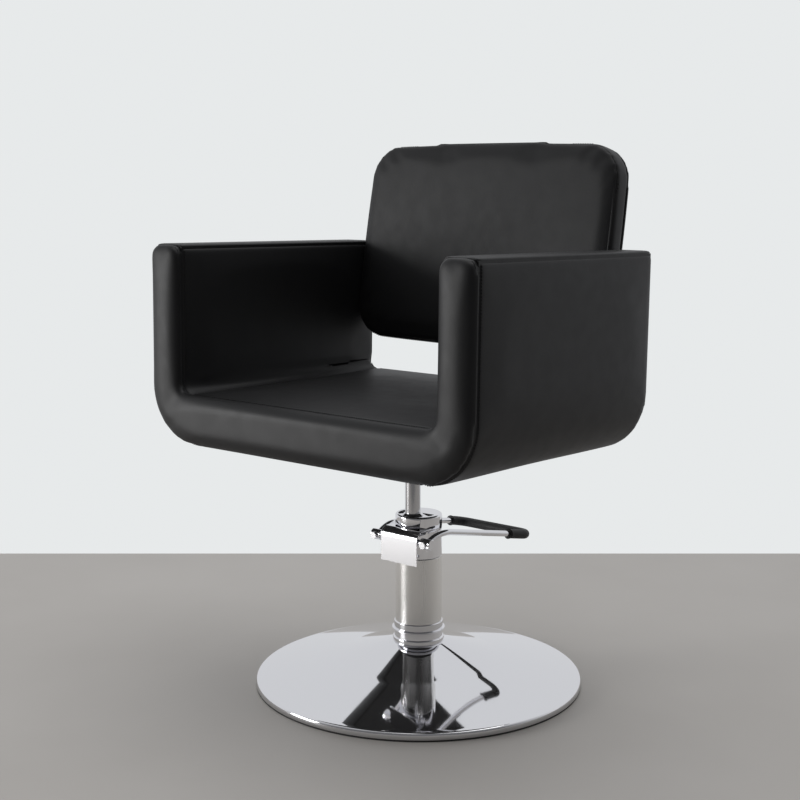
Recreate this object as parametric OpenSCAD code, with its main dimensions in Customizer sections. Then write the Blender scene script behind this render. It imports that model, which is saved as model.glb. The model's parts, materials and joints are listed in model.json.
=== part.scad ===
// Hydraulic salon styling chair: a U-shaped upholstered tub with a separate
// back, on a foot-pumped hydraulic column and a round chromed base.
// Millimetres. The origin is on the floor under the column, the sitter faces -Y.

/* [Base] */
// Radius of the domed base
base_r = 267.5; // [230:1:330]
// Height of the base's outer edge
rim_h = 14; // [12:1:24]
// Height at which the dome meets the collar
dome_top = 70; // [56:1:90]
// Radius of the bend where the dome's shallow outer cone turns up to the collar
dome_bend_r = 135; // [100:1:160]
// Height of the dome at that bend
dome_bend_z = 42; // [30:1:46]
// Thickness of the pressed base cover
dome_wall = 2; // [1.5:0.5:3]
// Thickness of the steel floor plate
floor_plate_t = 8; // [6:1:9]
// Width of the rubber floor ring
floor_ring_w = 8; // [6:1:14]
// Height of the rubber floor ring
floor_ring_h = 3; // [2:0.5:5]

/* [Column] */
// Outer radius of the fixed column tube
column_r = 38; // [34:0.5:46]
// Wall of the column tube
column_wall = 3; // [2.5:0.5:4]
// Height of the column tube's top edge
column_top = 213; // [190:1:260]
// Radius of the column's bolting flange
flange_r = 62; // [58:1:70]
// Thickness of the column's bolting flange
flange_t = 6; // [5:1:9]
// Radius of the flange screws' thread
flange_screw_r = 4; // [3:0.5:5]
// Height of the lower collar, neck and bead together
collar_h = 20; // [16:1:26]
// Tube radius of the collar's bead
collar_bead_r = 4; // [3:0.5:5]
// Height of the upper collar ring
ring_h = 14; // [10:1:18]
// How far the upper ring's brim stands out
ring_brim = 5.5; // [3:0.5:7]

/* [Swivel bearing] */
// Radius of the bearing balls
ball_r = 3; // [2.5:0.5:3.5]
// Number of bearing balls
ball_count = 12; // [8:1:16]
// Thickness of each bearing race
race_t = 3; // [2:0.5:4]
// Wall of the two swivel bushes
bush_wall = 1.5; // [1:0.25:1.5]
// Height of each swivel bush
bush_h = 24; // [16:1:30]

/* [Pump] */
// Radius of the lifting ram
ram_r = 12.5; // [11:0.5:13]
// How far the ram stands in front of the column's axis
ram_offset = 15; // [14.5:0.5:15.5]
// How far the chair can sink from its rest height
lift_down = 50; // [30:1:50]
// Bore radius of the ram's cylinder
cylinder_bore = 14.3; // [13.8:0.1:14.3]
// Wall of the ram's cylinder
cylinder_wall = 1.5; // [1:0.1:1.5]
// Wall of the oil tank
tank_wall = 2.5; // [2:0.1:2.6]
// Thickness of the tank's bottom
tank_floor = 5; // [4:0.5:8]
// Radius of the pumping plunger
plunger_r = 9; // [8:0.5:9.5]
// Distance of the plunger behind the column's axis
plunger_y = 14; // [13.5:0.5:15]
// Length of the plunger below its head
plunger_len = 78; // [60:1:90]
// Wire radius of the plunger's return spring
spring_wire_r = 0.8; // [0.6:0.1:0.9]
// Turns in the return spring
spring_turns = 5; // [4:1:6]

/* [Pump head] */
// Height of the head's flat top
head_top = 283; // [275:1:300]
// Wall of the head's chromed cover
head_wall = 2.6; // [2:0.1:3]
// Chamfer around the head's top edge
head_chamfer = 2.5; // [1:0.5:4]
// Radius of the wiper ring around the ram
wiper_r = 17; // [16:0.5:18]

/* [Pedal] */
// Radius of the rocker shaft
shaft_r = 5; // [4:0.5:5]
// How far the rocker shaft's axis stands in front of the column's surface
shaft_out = 4; // [4:0.5:6]
// Height of the rocker shaft
shaft_z = 247; // [245:1:252]
// Length of the rocker shaft
shaft_len = 116; // [112:1:130]
// Radius of the pedal rod
rod_r = 5; // [4:0.5:6]
// Distance from the axis to the pedal's crossbar
pedal_reach = 208; // [180:1:260]
// Half the width of the pedal loop at its corners
pedal_half_w = 76; // [68:1:95]
// Corner radius of the pedal loop
pedal_corner_r = 22; // [16:1:30]
// How far the legs drop from their bend to the crossbar
pedal_drop = 41; // [20:1:60]
// Radius of the rubber sleeve
sleeve_r = 8; // [7:0.5:9]
// Length of the sleeve's leg on the chair's left side
sleeve_leg_left = 58; // [30:1:80]
// Length of the sleeve's leg on the chair's right side
sleeve_leg_right = 26; // [24:1:80]

/* [Bracket] */
// Width of the bracket's chromed cover
cover_w = 75; // [72:1:80]
// How far the cover's front face stands in front of the column's surface
cover_out = 13; // [13:0.5:16]
// Sheet thickness of the cover
cover_t = 1.6; // [1:0.1:1.6]
// Height of the cover's lower edge
cover_bottom = 209; // [200:1:218]
// Height of the cover's top face
cover_top = 264; // [262:1:268]
// Bend radius where the cover curls back to the head
cover_bend = 14; // [10:1:16]

/* [Tub] */
// Overall width across the arms
tub_w = 640; // [580:1:720]
// Front face of the tub, in front of the column's axis
tub_front = 288; // [260:1:320]
// Rear face of the tub, behind the column's axis
tub_rear = 180; // [180:1:230]
// Height of the tub's underside at its rest height
tub_z = 401; // [395:1:420]
// Height from the underside to the arm tops
tub_h = 315; // [280:1:350]
// Thickness of each arm
arm_t = 63.5; // [56:0.5:76]
// Height from the underside to the seat's surface
seat_h = 81.5; // [76:0.5:100]
// Outer radius of the tub's lower corners
corner_r = 93; // [70:1:110]
// Inner radius where the arms meet the seat
inner_r = 15; // [8:1:20]
// Backward tilt of the whole tub, in degrees
seat_tilt = 1.1; // [0:0.1:3]
// Thickness of the bent plywood shell
ply_t = 12; // [9:1:15]
// Padding outside the plywood
outer_pad = 8; // [6:0.5:10]
// Depth of the padded front band
front_band_t = 15; // [12:1:34]
// Depth of the padded rear band
rear_band_t = 6; // [5:1:6]
// Padding on top of each arm
arm_top_pad = 8; // [6:1:20]
// Thickness of the seat board
seat_board_t = 15; // [12:1:18]
// Thickness of the cloth dust cover
dust_cover_t = 1.5; // [1:0.5:2]
// Thickness of the covers over the foam
cover_leather_t = 1.5; // [1:0.5:3]

/* [Back] */
// Width of the back
back_w = 492; // [430:1:492]
// Height of the back along its own slope
back_h = 328; // [280:1:400]
// Thickness of the back
back_t = 46; // [42:1:56]
// Corner radius of the back
back_corner_r = 62; // [40:1:90]
// Recline of the back from upright, in degrees
back_recline = 10.3; // [5:0.1:14]
// Height of the back's lower edge
back_z = 550; // [545:1:580]
// Distance of the back's lower front edge behind the column's axis
back_y = 121.5; // [100:0.5:130]
// Thickness of the back board
back_board_t = 18; // [15:1:20]
// Thickness of the back's rear padding
back_rear_t = 8; // [5:1:10]
// Radius of the back bolts' thread
back_bolt_r = 4; // [3:0.5:4]
// Distance between the two bolts on each side of the back
bolt_row_gap = 40; // [30:1:40]

/* [Seat plate] */
// Side of the square seat plate
seat_plate_w = 190; // [160:1:220]
// Thickness of the seat plate
seat_plate_t = 5; // [4:0.5:8]
// Radius of the seat plate's socket
socket_r = 24; // [22:1:30]
// Height of the socket below the tub
socket_h = 57; // [50:1:62]
// Depth to which the ram's taper enters the socket
taper_len = 44; // [36:1:46]
// How much the taper narrows the ram's radius
taper_drop = 1.2; // [0.8:0.1:2]
// Radius of the seat bolts' thread
seat_bolt_r = 4; // [3:0.5:5]
// Distance between the seat bolts
seat_bolt_spacing = 150; // [120:1:160]

/* [Hidden] */
$fn = 64;
// Small overshoot that makes a cut pass clean through
cut = 1;
// Radial clearance of every running fit
running = 0.05;
// Gap kept between bodies that turn past each other without touching
swivel_gap = 0.3;
// Gap left where a shell passes round a part without touching it
loose = 1;
// Length of a cutter that reaches past the whole part
far = 400;

tube_bore = column_r - column_wall;
shaft_y = column_r + shaft_out;
cover_y = column_r + cover_out;
tank_r = tube_bore - bush_wall - running;
tank_bore = tank_r - tank_wall;
race_z = floor_plate_t;
ball_z = race_z + race_t + ball_r;
upper_race_z = ball_z + ball_r + swivel_gap;
tank_z = upper_race_z + race_t;
head_gap = 0.6;
head_z = column_top + head_gap;
block_bottom = column_top - 23;
block_flange_t = 4;
cover_bore = column_r - head_wall;
gland_r = ram_r + 3;
seal_t = 4;
gland_z = head_z - 4;
gland_h = 12;
spring_coil_r = plunger_r + 2;
spring_seat_z = head_z - 4;
nose_r = 5;
plunger_gap = 0.1;
plunger_top = shaft_z - nose_r - plunger_gap;
plunger_head_t = 4;
plunger_head_r = spring_coil_r + 1;
spring_seat_r = spring_coil_r + 1.4;
barrel_wall = 3;
barrel_len = 50;
prong_in = 17.5;
prong_w = 6;
prong_h = 8;
fork_half_w = prong_in + prong_w;
fork_hub_r = shaft_r + 2;
window_half_w = fork_half_w + 1.5;
window_drop = 11;
window_rise = 9.5;
ear_in = window_half_w + 2.5;
ear_t = 6;
ear_h = 18;
ear_cut = 4;
// The pump's front openings and the saddle end this far in front of the axis
front_only_y = 8;
saddle_t = 2.4;
saddle_drop = 24;
saddle_rise = 12;
cover_end_y = 12;
wiper_neck_r = wiper_r - 1.5;
wiper_lip_r = ram_r + 1.2;
wiper_h = 3;
saddle_half_w = ear_in + ear_t;
hub_r = shaft_r + 3.5;
hub_in = cover_w / 2 + 3.5;
hub_len = 20;
hub_mid = hub_in + hub_len / 2;
screw_r = 3;
screw_head_r = 5.5;
screw_head_h = 4.5;
bend_y = 0;
bend_z = shaft_z + 12.5;
bend_x = hub_mid + 3;

piston_t = 8;
piston_play = 0.1;
groove_z = 2.5;
groove_h = 3;
groove_r = cylinder_bore - 2;
// Room left under the piston at the lowest seat
piston_room = 4;
piston_bottom = tank_z + tank_floor + lift_down + piston_room;
socket_z = tub_z - socket_h;

tub_half = tub_w / 2;
band_back = -tub_front + front_band_t;
rear_start = tub_rear - rear_band_t;
inner_half = tub_half - arm_t;
ply_out = tub_half - outer_pad;
ply_in = ply_out - ply_t;
ply_corner = corner_r - outer_pad;
board_bottom = outer_pad + ply_t;
board_half = ply_out - ply_corner;
cushion_bottom = board_bottom + seat_board_t;
arm_top_start = tub_h - arm_top_pad;

function mirror_x(p) = [-p[0], p[1], p[2]];
function leg_z(y) = bend_z - pedal_drop * (y - bend_y) / (pedal_reach - bend_y);
corner_y = pedal_reach - pedal_corner_r;
corner_x = pedal_half_w - pedal_corner_r;
function leg_x(y) = bend_x + (pedal_half_w - bend_x) * (y - bend_y) / (corner_y - bend_y);

module tub_frame() {
    translate([0, 0, tub_z]) rotate([-seat_tilt, 0, 0]) children();
}

module back_frame() {
    translate([0, back_y, back_z]) rotate([-back_recline, 0, 0]) children();
}

module along_y(y0, y1) {
    translate([0, y1, 0]) rotate([90, 0, 0]) linear_extrude(y1 - y0) children();
}

module along_x(x0, x1, y, z, r) {
    translate([x0, y, z]) rotate([0, 90, 0]) cylinder(h = x1 - x0, r = r);
}

module ring(r_in, r_out, z0, z1) {
    translate([0, 0, z0]) difference() {
        cylinder(h = z1 - z0, r = r_out);
        translate([0, 0, -cut]) cylinder(h = z1 - z0 + 2 * cut, r = r_in);
    }
}

// A round rod swept along points that never run straight up
rod_sides = 16;
function unit(v) = v / norm(v);
function run_at(points, i) =
    unit(points[min(i + 1, len(points) - 1)] - points[max(i - 1, 0)]);
function ring_at(points, i, r) =
    let (t = run_at(points, i), s = unit(cross(t, [0, 0, 1])), u = cross(t, s))
        [for (j = [0 : rod_sides - 1])
            let (a = 360 * j / rod_sides) points[i] + r * (cos(a) * s + sin(a) * u)];
function tube_faces(rings, sides) = concat(
    [[for (j = [0 : sides - 1]) j]],
    [[for (j = [sides - 1 : -1 : 0]) (rings - 1) * sides + j]],
    [for (i = [0 : rings - 2]) for (j = [0 : sides - 1])
        let (k = (j + 1) % sides)
            [i * sides + j, (i + 1) * sides + j, (i + 1) * sides + k, i * sides + k]]);

module rod_through(points, r) {
    polyhedron(
        points = [for (i = [0 : len(points) - 1]) each ring_at(points, i, r)],
        faces = tube_faces(len(points), rod_sides));
}

// ---- base ----

edge_r = 5;
rim_r = base_r - edge_r;
skirt_top = rim_h - edge_r - dome_wall;
neck_r = column_r + collar_bead_r;
// Height of the upper cone, t running from 0 at the bend to 1 at the collar
bend_share = 0.92;
function dome_z(t) =
    dome_bend_z + (dome_top - dome_bend_z) * (bend_share * t + (1 - bend_share) * pow(t, 3));
function dome_r(t) = dome_bend_r - (dome_bend_r - neck_r) * t;
dome_steps = 12;
dome_outer = concat(
    [[rim_r, rim_h]], [for (i = [0 : dome_steps]) let (t = i / dome_steps) [dome_r(t), dome_z(t)]]);
edge_steps = 5;
dome_edge = [for (i = [0 : edge_steps])
    let (a = 90 * i / edge_steps)
        [rim_r + edge_r * cos(a), rim_h - edge_r * (1 - sin(a))]];
dome_inner = [for (i = [len(dome_outer) - 1 : -1 : 0]) dome_outer[i] - [0, dome_wall]];

// The rubber ring stands back from the cover's edge, and the plate from the ring
ring_inset = 0.5;
floor_ring_out = base_r - ring_inset;

module floor_plate() color("dimgray") difference() {
    cylinder(h = floor_plate_t, r = floor_ring_out - floor_ring_w - ring_inset);
    for (a = [45 : 90 : 315]) rotate(a) translate([flange_bolt_x, 0, 0]) {
        translate([0, 0, -cut]) cylinder(h = floor_plate_t + 2 * cut, r = flange_screw_r);
        translate([0, 0, -cut]) cylinder(h = flange_head_h + cut, r = flange_head_r);
    }
}

flange_bolt_x = (flange_r + column_r) / 2;
flange_head_r = flange_screw_r + 3;
flange_head_h = 4;
// The screw heads sit this far inside their recesses
recess_play = 0.5;
screw_rise = 1.5;
collar_neck_t = 1.5;
ring_neck_t = 2;
brim_t = 2.5;

module floor_ring() color("black")
    ring(floor_ring_out - floor_ring_w, floor_ring_out, 0, floor_ring_h);

module base_dome() color("silver") rotate_extrude($fn = 96) polygon(concat(
    [[base_r, floor_ring_h]], dome_edge, dome_outer, [[column_r + loose, dome_top]],
    [[column_r + loose, dome_top - dome_wall]], dome_inner,
    [[base_r - dome_wall, skirt_top], [base_r - dome_wall, floor_ring_h]]));

module lower_collar() color("silver") {
    ring(column_r, column_r + collar_neck_t, dome_top, dome_top + collar_h);
    rotate_extrude() translate([column_r, dome_top]) difference() {
        translate([0, collar_bead_r]) circle(r = collar_bead_r);
        translate([-3 * collar_bead_r, -cut]) square([3 * collar_bead_r, 4 * collar_bead_r]);
    }
}

module collar_ring() color("silver") {
    z = dome_top + collar_h;
    ring(column_r, column_r + ring_neck_t, z, z + ring_h);
    ring(column_r, column_r + ring_brim, z, z + brim_t);
}

module column_tube() color("gainsboro") ring(tube_bore, column_r, floor_plate_t, column_top);

module column_flange() color("dimgray") difference() {
    ring(column_r, flange_r, floor_plate_t, floor_plate_t + flange_t);
    for (a = [45 : 90 : 315]) rotate(a) translate([flange_bolt_x, 0, floor_plate_t - cut])
        cylinder(h = flange_t + 2 * cut, r = flange_screw_r);
}

module flange_screws() color("gray")
    for (a = [45 : 90 : 315]) rotate(a) translate([flange_bolt_x, 0, 0]) {
        translate([0, 0, recess_play])
            cylinder(h = flange_head_h - recess_play, r = flange_head_r - recess_play);
        translate([0, 0, recess_play])
            cylinder(h = floor_plate_t + flange_t + screw_rise - recess_play, r = flange_screw_r);
    }

// ---- swivel bearing ----

race_half_w = 7;
cage_half_w = 5;
cage_half_t = 1;
ball_play = 0.2;
bush_end = 4;
ball_path_r = tank_r - race_half_w - 2;

module lower_race() color("gray")
    ring(ball_path_r - race_half_w, ball_path_r + race_half_w, race_z, race_z + race_t);

module bearing_balls() color("silver")
    for (i = [0 : ball_count - 1]) rotate(360 * i / ball_count)
        translate([ball_path_r, 0, ball_z]) sphere(r = ball_r);

module ball_cage() color("goldenrod") difference() {
    ring(
        ball_path_r - cage_half_w, ball_path_r + cage_half_w,
        ball_z - cage_half_t, ball_z + cage_half_t);
    for (i = [0 : ball_count - 1]) rotate(360 * i / ball_count)
        translate([ball_path_r, 0, ball_z - ball_r]) cylinder(h = 2 * ball_r, r = ball_r + ball_play);
}

module upper_race() color("gray")
    ring(ball_path_r - race_half_w, ball_path_r + race_half_w, upper_race_z, upper_race_z + race_t);

module lower_bush() color("goldenrod")
    ring(tank_r + running, tube_bore, tank_z + bush_end, tank_z + bush_end + bush_h);

module upper_bush() color("goldenrod")
    ring(tank_r + running, tube_bore, column_top - bush_end - bush_h, column_top - bush_end);

// ---- pump head ----

module oil_tank() color("dimgray") difference() {
    translate([0, 0, tank_z]) cylinder(h = block_bottom - tank_z, r = tank_r);
    translate([0, 0, tank_z + tank_floor]) cylinder(h = column_top, r = tank_bore);
}

module ram_cylinder() color("gray") translate([0, -ram_offset, 0])
    ring(cylinder_bore, cylinder_bore + cylinder_wall, tank_z + tank_floor, block_bottom);

module plunger_barrel() color("gray") translate([0, plunger_y, 0])
    ring(plunger_r + running, plunger_r + barrel_wall, block_bottom - barrel_len, block_bottom);

module head_block() color("gray") difference() {
    union() {
        translate([0, 0, block_bottom]) cylinder(h = head_z - block_bottom + cut, r = tank_r);
        translate([0, 0, head_z]) cylinder(h = block_flange_t, r = cover_bore);
    }
    translate([0, -ram_offset, block_bottom - cut]) cylinder(h = far, r = ram_r + running);
    translate([0, -ram_offset, gland_z - seal_t]) cylinder(h = far, r = gland_r);
    translate([0, plunger_y, block_bottom - cut]) cylinder(h = far, r = plunger_r + running);
    translate([0, plunger_y, spring_seat_z]) cylinder(h = far, r = spring_seat_r);
}

module ram_seal() color("black") translate([0, -ram_offset, 0])
    ring(ram_r + running, gland_r, gland_z - seal_t, gland_z);

module gland_nut() color("silver") translate([0, -ram_offset, 0])
    ring(ram_r + running, gland_r, gland_z, gland_z + gland_h);

module wiper_ring() color("silver") translate([0, -ram_offset, 0]) difference() {
    union() {
        translate([0, 0, head_top - head_wall]) cylinder(h = head_wall, r = wiper_neck_r);
        translate([0, 0, head_top]) cylinder(h = wiper_h, r1 = wiper_r, r2 = wiper_lip_r);
    }
    translate([0, 0, head_z]) cylinder(h = far, r = ram_r + running);
}

module head_cover() color("silver") difference() {
    union() {
        translate([0, 0, head_z]) cylinder(h = head_top - head_chamfer - head_z, r = column_r);
        translate([0, 0, head_top - head_chamfer])
            cylinder(h = head_chamfer, r1 = column_r, r2 = column_r - head_chamfer);
    }
    translate([0, 0, head_z - cut]) cylinder(h = head_top - head_wall - head_z + cut, r = cover_bore);
    translate([0, -ram_offset, head_top - head_wall - cut]) cylinder(h = far, r = wiper_neck_r);
    head_window();
}

module head_window() {
    translate([-window_half_w, -far, shaft_z - window_drop])
        cube([2 * window_half_w, far - front_only_y, window_drop + window_rise]);
}

// One ear from the side, its top front corner cut back behind the cover's bend
module ear_profile() {
    front = -cover_y + cover_t;
    top = shaft_z + ear_h / 2;
    polygon([
        [0, top - ear_h], [0, top], [front + ear_cut, top],
        [front, cover_top - cover_bend - ear_cut / 2], [front, top - ear_h]]);
}

module pedal_bracket() color("silver") difference() {
    union() {
        intersection() {
            ring(column_r, column_r + saddle_t, shaft_z - saddle_drop, shaft_z + saddle_rise);
            translate([-saddle_half_w, -far, 0]) cube([2 * saddle_half_w, far - front_only_y, far]);
        }
        for (s = [-1, 1]) translate([s * (ear_in + ear_t / 2) - ear_t / 2, 0, 0])
            rotate([90, 0, 90]) linear_extrude(ear_t) ear_profile();
    }
    translate([0, 0, column_top]) cylinder(h = far, r = column_r);
    along_x(-far, far, -shaft_y, shaft_z, shaft_r + running);
    head_window();
}

module cover_profile() {
    straight = cover_top - cover_bend;
    difference() {
        union() {
            translate([-cover_y, cover_bottom]) square([cover_t, straight - cover_bottom]);
            translate([-cover_y + cover_bend, straight]) circle(r = cover_bend);
            translate([-cover_y + cover_bend, cover_top - cover_t])
                square([cover_y - cover_bend - cover_end_y, cover_t]);
        }
        translate([-cover_y + cover_bend, straight]) circle(r = cover_bend - cover_t);
        translate([-cover_y + cover_t, cover_bottom])
            square([2 * cover_bend, straight - cover_bottom]);
        translate([-cover_y + cover_bend, straight - cut])
            square([2 * cover_bend, cover_bend - cover_t + cut]);
    }
}

module bracket_cover() color("silver") difference() {
    translate([-cover_w / 2, 0, 0]) rotate([90, 0, 90]) linear_extrude(cover_w) cover_profile();
    translate([0, 0, cover_bottom - cut]) cylinder(h = far, r = column_r);
}

// ---- ram ----

module ram() color("silver") translate([0, -ram_offset, 0]) {
    translate([0, 0, piston_bottom + piston_t])
        cylinder(h = socket_z - piston_bottom - piston_t, r = ram_r);
    translate([0, 0, socket_z]) cylinder(h = taper_len, r1 = ram_r, r2 = ram_r - taper_drop);
}

module piston() color("gray") translate([0, -ram_offset, piston_bottom]) difference() {
    cylinder(h = piston_t, r = cylinder_bore - piston_play);
    ring(groove_r, cylinder_bore + cut, groove_z, groove_z + groove_h);
}

module piston_seal() color("black") translate([0, -ram_offset, piston_bottom])
    ring(groove_r, cylinder_bore - running, groove_z, groove_z + groove_h);

// ---- plunger ----

module plunger() color("gray") translate([0, plunger_y, 0]) {
    translate([0, 0, plunger_top - plunger_head_t]) cylinder(h = plunger_head_t, r = plunger_head_r);
    translate([0, 0, plunger_top - plunger_head_t - plunger_len])
        cylinder(h = plunger_len + cut, r = plunger_r);
}

spring_z0 = spring_seat_z + spring_wire_r;
spring_z1 = plunger_top - plunger_head_t - spring_wire_r - plunger_gap;
coil_steps = 12;
coil_sides = 6;
coil_rings = spring_turns * coil_steps;
coil_points = [for (i = [0 : coil_rings]) for (j = [0 : coil_sides - 1])
    let (a = 360 * i / coil_steps, b = 360 * j / coil_sides)
    let (r = spring_coil_r + spring_wire_r * cos(b))
        [r * cos(a), r * sin(a),
         spring_z0 + (spring_z1 - spring_z0) * i / coil_rings - spring_wire_r * sin(b)]];
module plunger_spring() color("gray") translate([0, plunger_y, 0])
    polyhedron(points = coil_points, faces = tube_faces(coil_rings + 1, coil_sides));

// ---- pedal ----

corner_arc = [for (a = [0 : 15 : 90])
    [corner_x + pedal_corner_r * cos(a), corner_y + pedal_corner_r * sin(a),
     leg_z(corner_y + pedal_corner_r * sin(a))]];
// The rod rises out of the hub in one smooth curve, pulled towards a point over the column
bend_end_y = 12;
bend_start = [hub_mid, -shaft_y, shaft_z];
bend_pull_y = 18;
bend_pull_rise = 2.5;
bend_pull = [hub_mid + 1.5, -bend_pull_y, bend_z + bend_pull_rise];
bend_end = [leg_x(bend_end_y), bend_end_y, leg_z(bend_end_y)];
bend_steps = 5;
bend_arc = [for (i = [0 : bend_steps]) let (t = i / bend_steps)
    (1 - t) * (1 - t) * bend_start + 2 * t * (1 - t) * bend_pull + t * t * bend_end];
left_side = concat(bend_arc, corner_arc);
loop_points = concat(left_side, [for (i = [len(left_side) - 1 : -1 : 0]) mirror_x(left_side[i])]);
left_end_y = corner_y + pedal_corner_r - sleeve_leg_left;
right_end_y = corner_y + pedal_corner_r - sleeve_leg_right;
sleeve_points = concat(
    [[leg_x(left_end_y), left_end_y, leg_z(left_end_y)]], corner_arc,
    [for (i = [len(corner_arc) - 1 : -1 : 0]) mirror_x(corner_arc[i])],
    [[-leg_x(right_end_y), right_end_y, leg_z(right_end_y)]]);

module rocker_shaft() color("silver")
    along_x(-shaft_len / 2, shaft_len / 2, -shaft_y, shaft_z, shaft_r);

module rocker_fork() color("gray") difference() {
    union() {
        along_x(-fork_half_w, fork_half_w, -shaft_y, shaft_z, fork_hub_r);
        for (s = [-1, 1])
            translate([s * (prong_in + prong_w / 2) - prong_w / 2, -shaft_y, shaft_z - prong_h / 2])
                cube([prong_w, shaft_y + plunger_y, prong_h]);
        along_x(-fork_half_w, fork_half_w, plunger_y, shaft_z, nose_r);
    }
    along_x(-far, far, -shaft_y, shaft_z, shaft_r);
}

module pedal_loop() color("silver") difference() {
    union() {
        rod_through(loop_points, rod_r);
        along_x(hub_in, hub_in + hub_len, -shaft_y, shaft_z, hub_r);
        along_x(-hub_in - hub_len, -hub_in, -shaft_y, shaft_z, hub_r);
    }
    along_x(-far, far, -shaft_y, shaft_z, shaft_r);
    for (s = [-1, 1]) translate([s * hub_mid, -shaft_y, shaft_z])
        rotate([90, 0, 0]) cylinder(h = far, r = screw_r);
}

module pedal_sleeve() color([0.1, 0.1, 0.1]) difference() {
    rod_through(sleeve_points, sleeve_r);
    rod_through(loop_points, rod_r);
}

module hub_screws() color("silver")
    for (s = [-1, 1]) translate([s * hub_mid, -shaft_y, shaft_z]) rotate([90, 0, 0]) {
        translate([0, 0, shaft_r]) cylinder(h = hub_r - shaft_r + cut, r = screw_r);
        translate([0, 0, hub_r]) cylinder(h = screw_head_h, r = screw_head_r);
    }

// ---- seat plate ----

bolt_half = seat_bolt_spacing / 2;
hex_t = 5;
hex_r = seat_bolt_r + 3;
plate_y = -ram_offset;
module at_seat_bolts() {
    for (x = [-bolt_half, bolt_half]) for (y = [-bolt_half, bolt_half])
        translate([x, plate_y + y, 0]) children();
}

module seat_bolt_bores() {
    at_seat_bolts() translate([0, 0, -far / 2]) cylinder(h = far, r = seat_bolt_r);
}

module seat_plate() color([0.15, 0.15, 0.16]) difference() {
    union() {
        tub_frame() translate([-seat_plate_w / 2, plate_y - seat_plate_w / 2, -seat_plate_t])
            cube([seat_plate_w, seat_plate_w, seat_plate_t]);
        translate([0, -ram_offset, socket_z]) cylinder(h = socket_h, r = socket_r);
    }
    translate([0, -ram_offset, socket_z])
        cylinder(h = taper_len, r1 = ram_r, r2 = ram_r - taper_drop);
    tub_frame() seat_bolt_bores();
    tub_frame() translate([-far / 2, -far / 2, 0]) cube(far);
}

module seat_bolts() color("gray") tub_frame() at_seat_bolts() {
    translate([0, 0, -seat_plate_t - hex_t]) cylinder(h = hex_t, r = hex_r, $fn = 6);
    translate([0, 0, -seat_plate_t - cut])
        cylinder(h = cut + seat_plate_t + cushion_bottom, r = seat_bolt_r);
}

tee_barrel_r = seat_bolt_r + 1.5;
tee_barrel_h = 9;
tee_flange_r = seat_bolt_r + 6;
tee_flange_t = 1.5;

module seat_tee_nuts() color("gray") tub_frame() at_seat_bolts() {
    ring(seat_bolt_r, tee_barrel_r, cushion_bottom - tee_barrel_h, cushion_bottom);
    ring(seat_bolt_r, tee_flange_r, cushion_bottom, cushion_bottom + tee_flange_t);
}

// ---- tub ----

// The tub's section seen from the front, with rounded lower corners
module tub_section(half, z0, z1, r) {
    translate([-half, z0 + r]) square([2 * half, z1 - z0 - r]);
    translate([-half + r, z0]) square([2 * (half - r), r + 1]);
    for (s = [-1, 1]) translate([s * (half - r), z0 + r]) circle(r = r);
}

// The space between the arms, grown into the padding by d
module inner_hollow(top, d) {
    tub_section(inner_half + d, seat_h - d, top, inner_r + d);
}

module plywood_shell() color("burlywood") difference() {
    tub_frame() along_y(band_back, rear_start) difference() {
        tub_section(ply_out, outer_pad, arm_top_start, ply_corner);
        tub_section(ply_in, board_bottom, arm_top_start + cut, ply_corner - ply_t);
    }
    tub_frame() seat_bolt_bores();
    back_bolt_bodies();
}

module seat_board() color("burlywood") tub_frame() difference() {
    translate([-board_half, band_back, board_bottom])
        cube([2 * board_half, rear_start - band_back, seat_board_t]);
    seat_bolt_bores();
    at_seat_bolts() translate([0, 0, cushion_bottom - tee_barrel_h])
        cylinder(h = far, r = tee_barrel_r);
}

module dust_cover() color([0.12, 0.12, 0.12]) tub_frame() difference() {
    translate([-board_half, band_back, 0])
        cube([2 * board_half, rear_start - band_back, dust_cover_t]);
    seat_bolt_bores();
}

module seat_foam() color([0.75, 0.72, 0.6]) tub_frame() difference() {
    translate([-inner_half + inner_r, band_back, cushion_bottom])
        cube([
            2 * (inner_half - inner_r), rear_start - band_back,
            seat_h - cover_leather_t - cushion_bottom]);
    at_seat_bolts() translate([0, 0, cushion_bottom - cut])
        cylinder(h = tee_flange_t + cut, r = tee_flange_r);
}

module seat_cover() color([0.13, 0.13, 0.14]) tub_frame()
    translate([-inner_half + inner_r, band_back, seat_h - cover_leather_t])
        cube([2 * (inner_half - inner_r), rear_start - band_back, cover_leather_t]);

module half_of(side) {
    intersection() {
        children();
        translate([side > 0 ? 0 : -tub_w, 0]) square([tub_w, tub_h]);
    }
}

module arm_foam(side) {
    difference() {
        tub_frame() along_y(band_back, rear_start) difference() {
            half_of(side) tub_section(ply_in, board_bottom, arm_top_start, ply_corner - ply_t);
            inner_hollow(tub_h, cover_leather_t);
            translate([-board_half, 0]) square([2 * board_half, cushion_bottom]);
            translate([-inner_half + inner_r, 0]) square([2 * (inner_half - inner_r), tub_h]);
        }
        back_bolt_bodies();
    }
}

module inner_cover(side) {
    difference() {
        tub_frame() along_y(band_back, rear_start) difference() {
            half_of(side) inner_hollow(arm_top_start, cover_leather_t);
            inner_hollow(tub_h, 0);
            translate([-inner_half + inner_r, 0]) square([2 * (inner_half - inner_r), tub_h]);
        }
        back_bolt_bodies();
    }
}

module side_panel(side) {
    difference() {
        tub_frame() along_y(band_back, rear_start) difference() {
            half_of(side) tub_section(tub_half, 0, arm_top_start, corner_r);
            tub_section(ply_out, outer_pad, tub_h, ply_corner);
            translate([-board_half, -cut]) square([2 * board_half, tub_h]);
        }
        back_bolt_bodies();
    }
}

module arm_top(side) {
    tub_frame() along_y(band_back, rear_start)
        translate([side > 0 ? inner_half : -tub_half, arm_top_start]) square([arm_t, arm_top_pad]);
}

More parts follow.
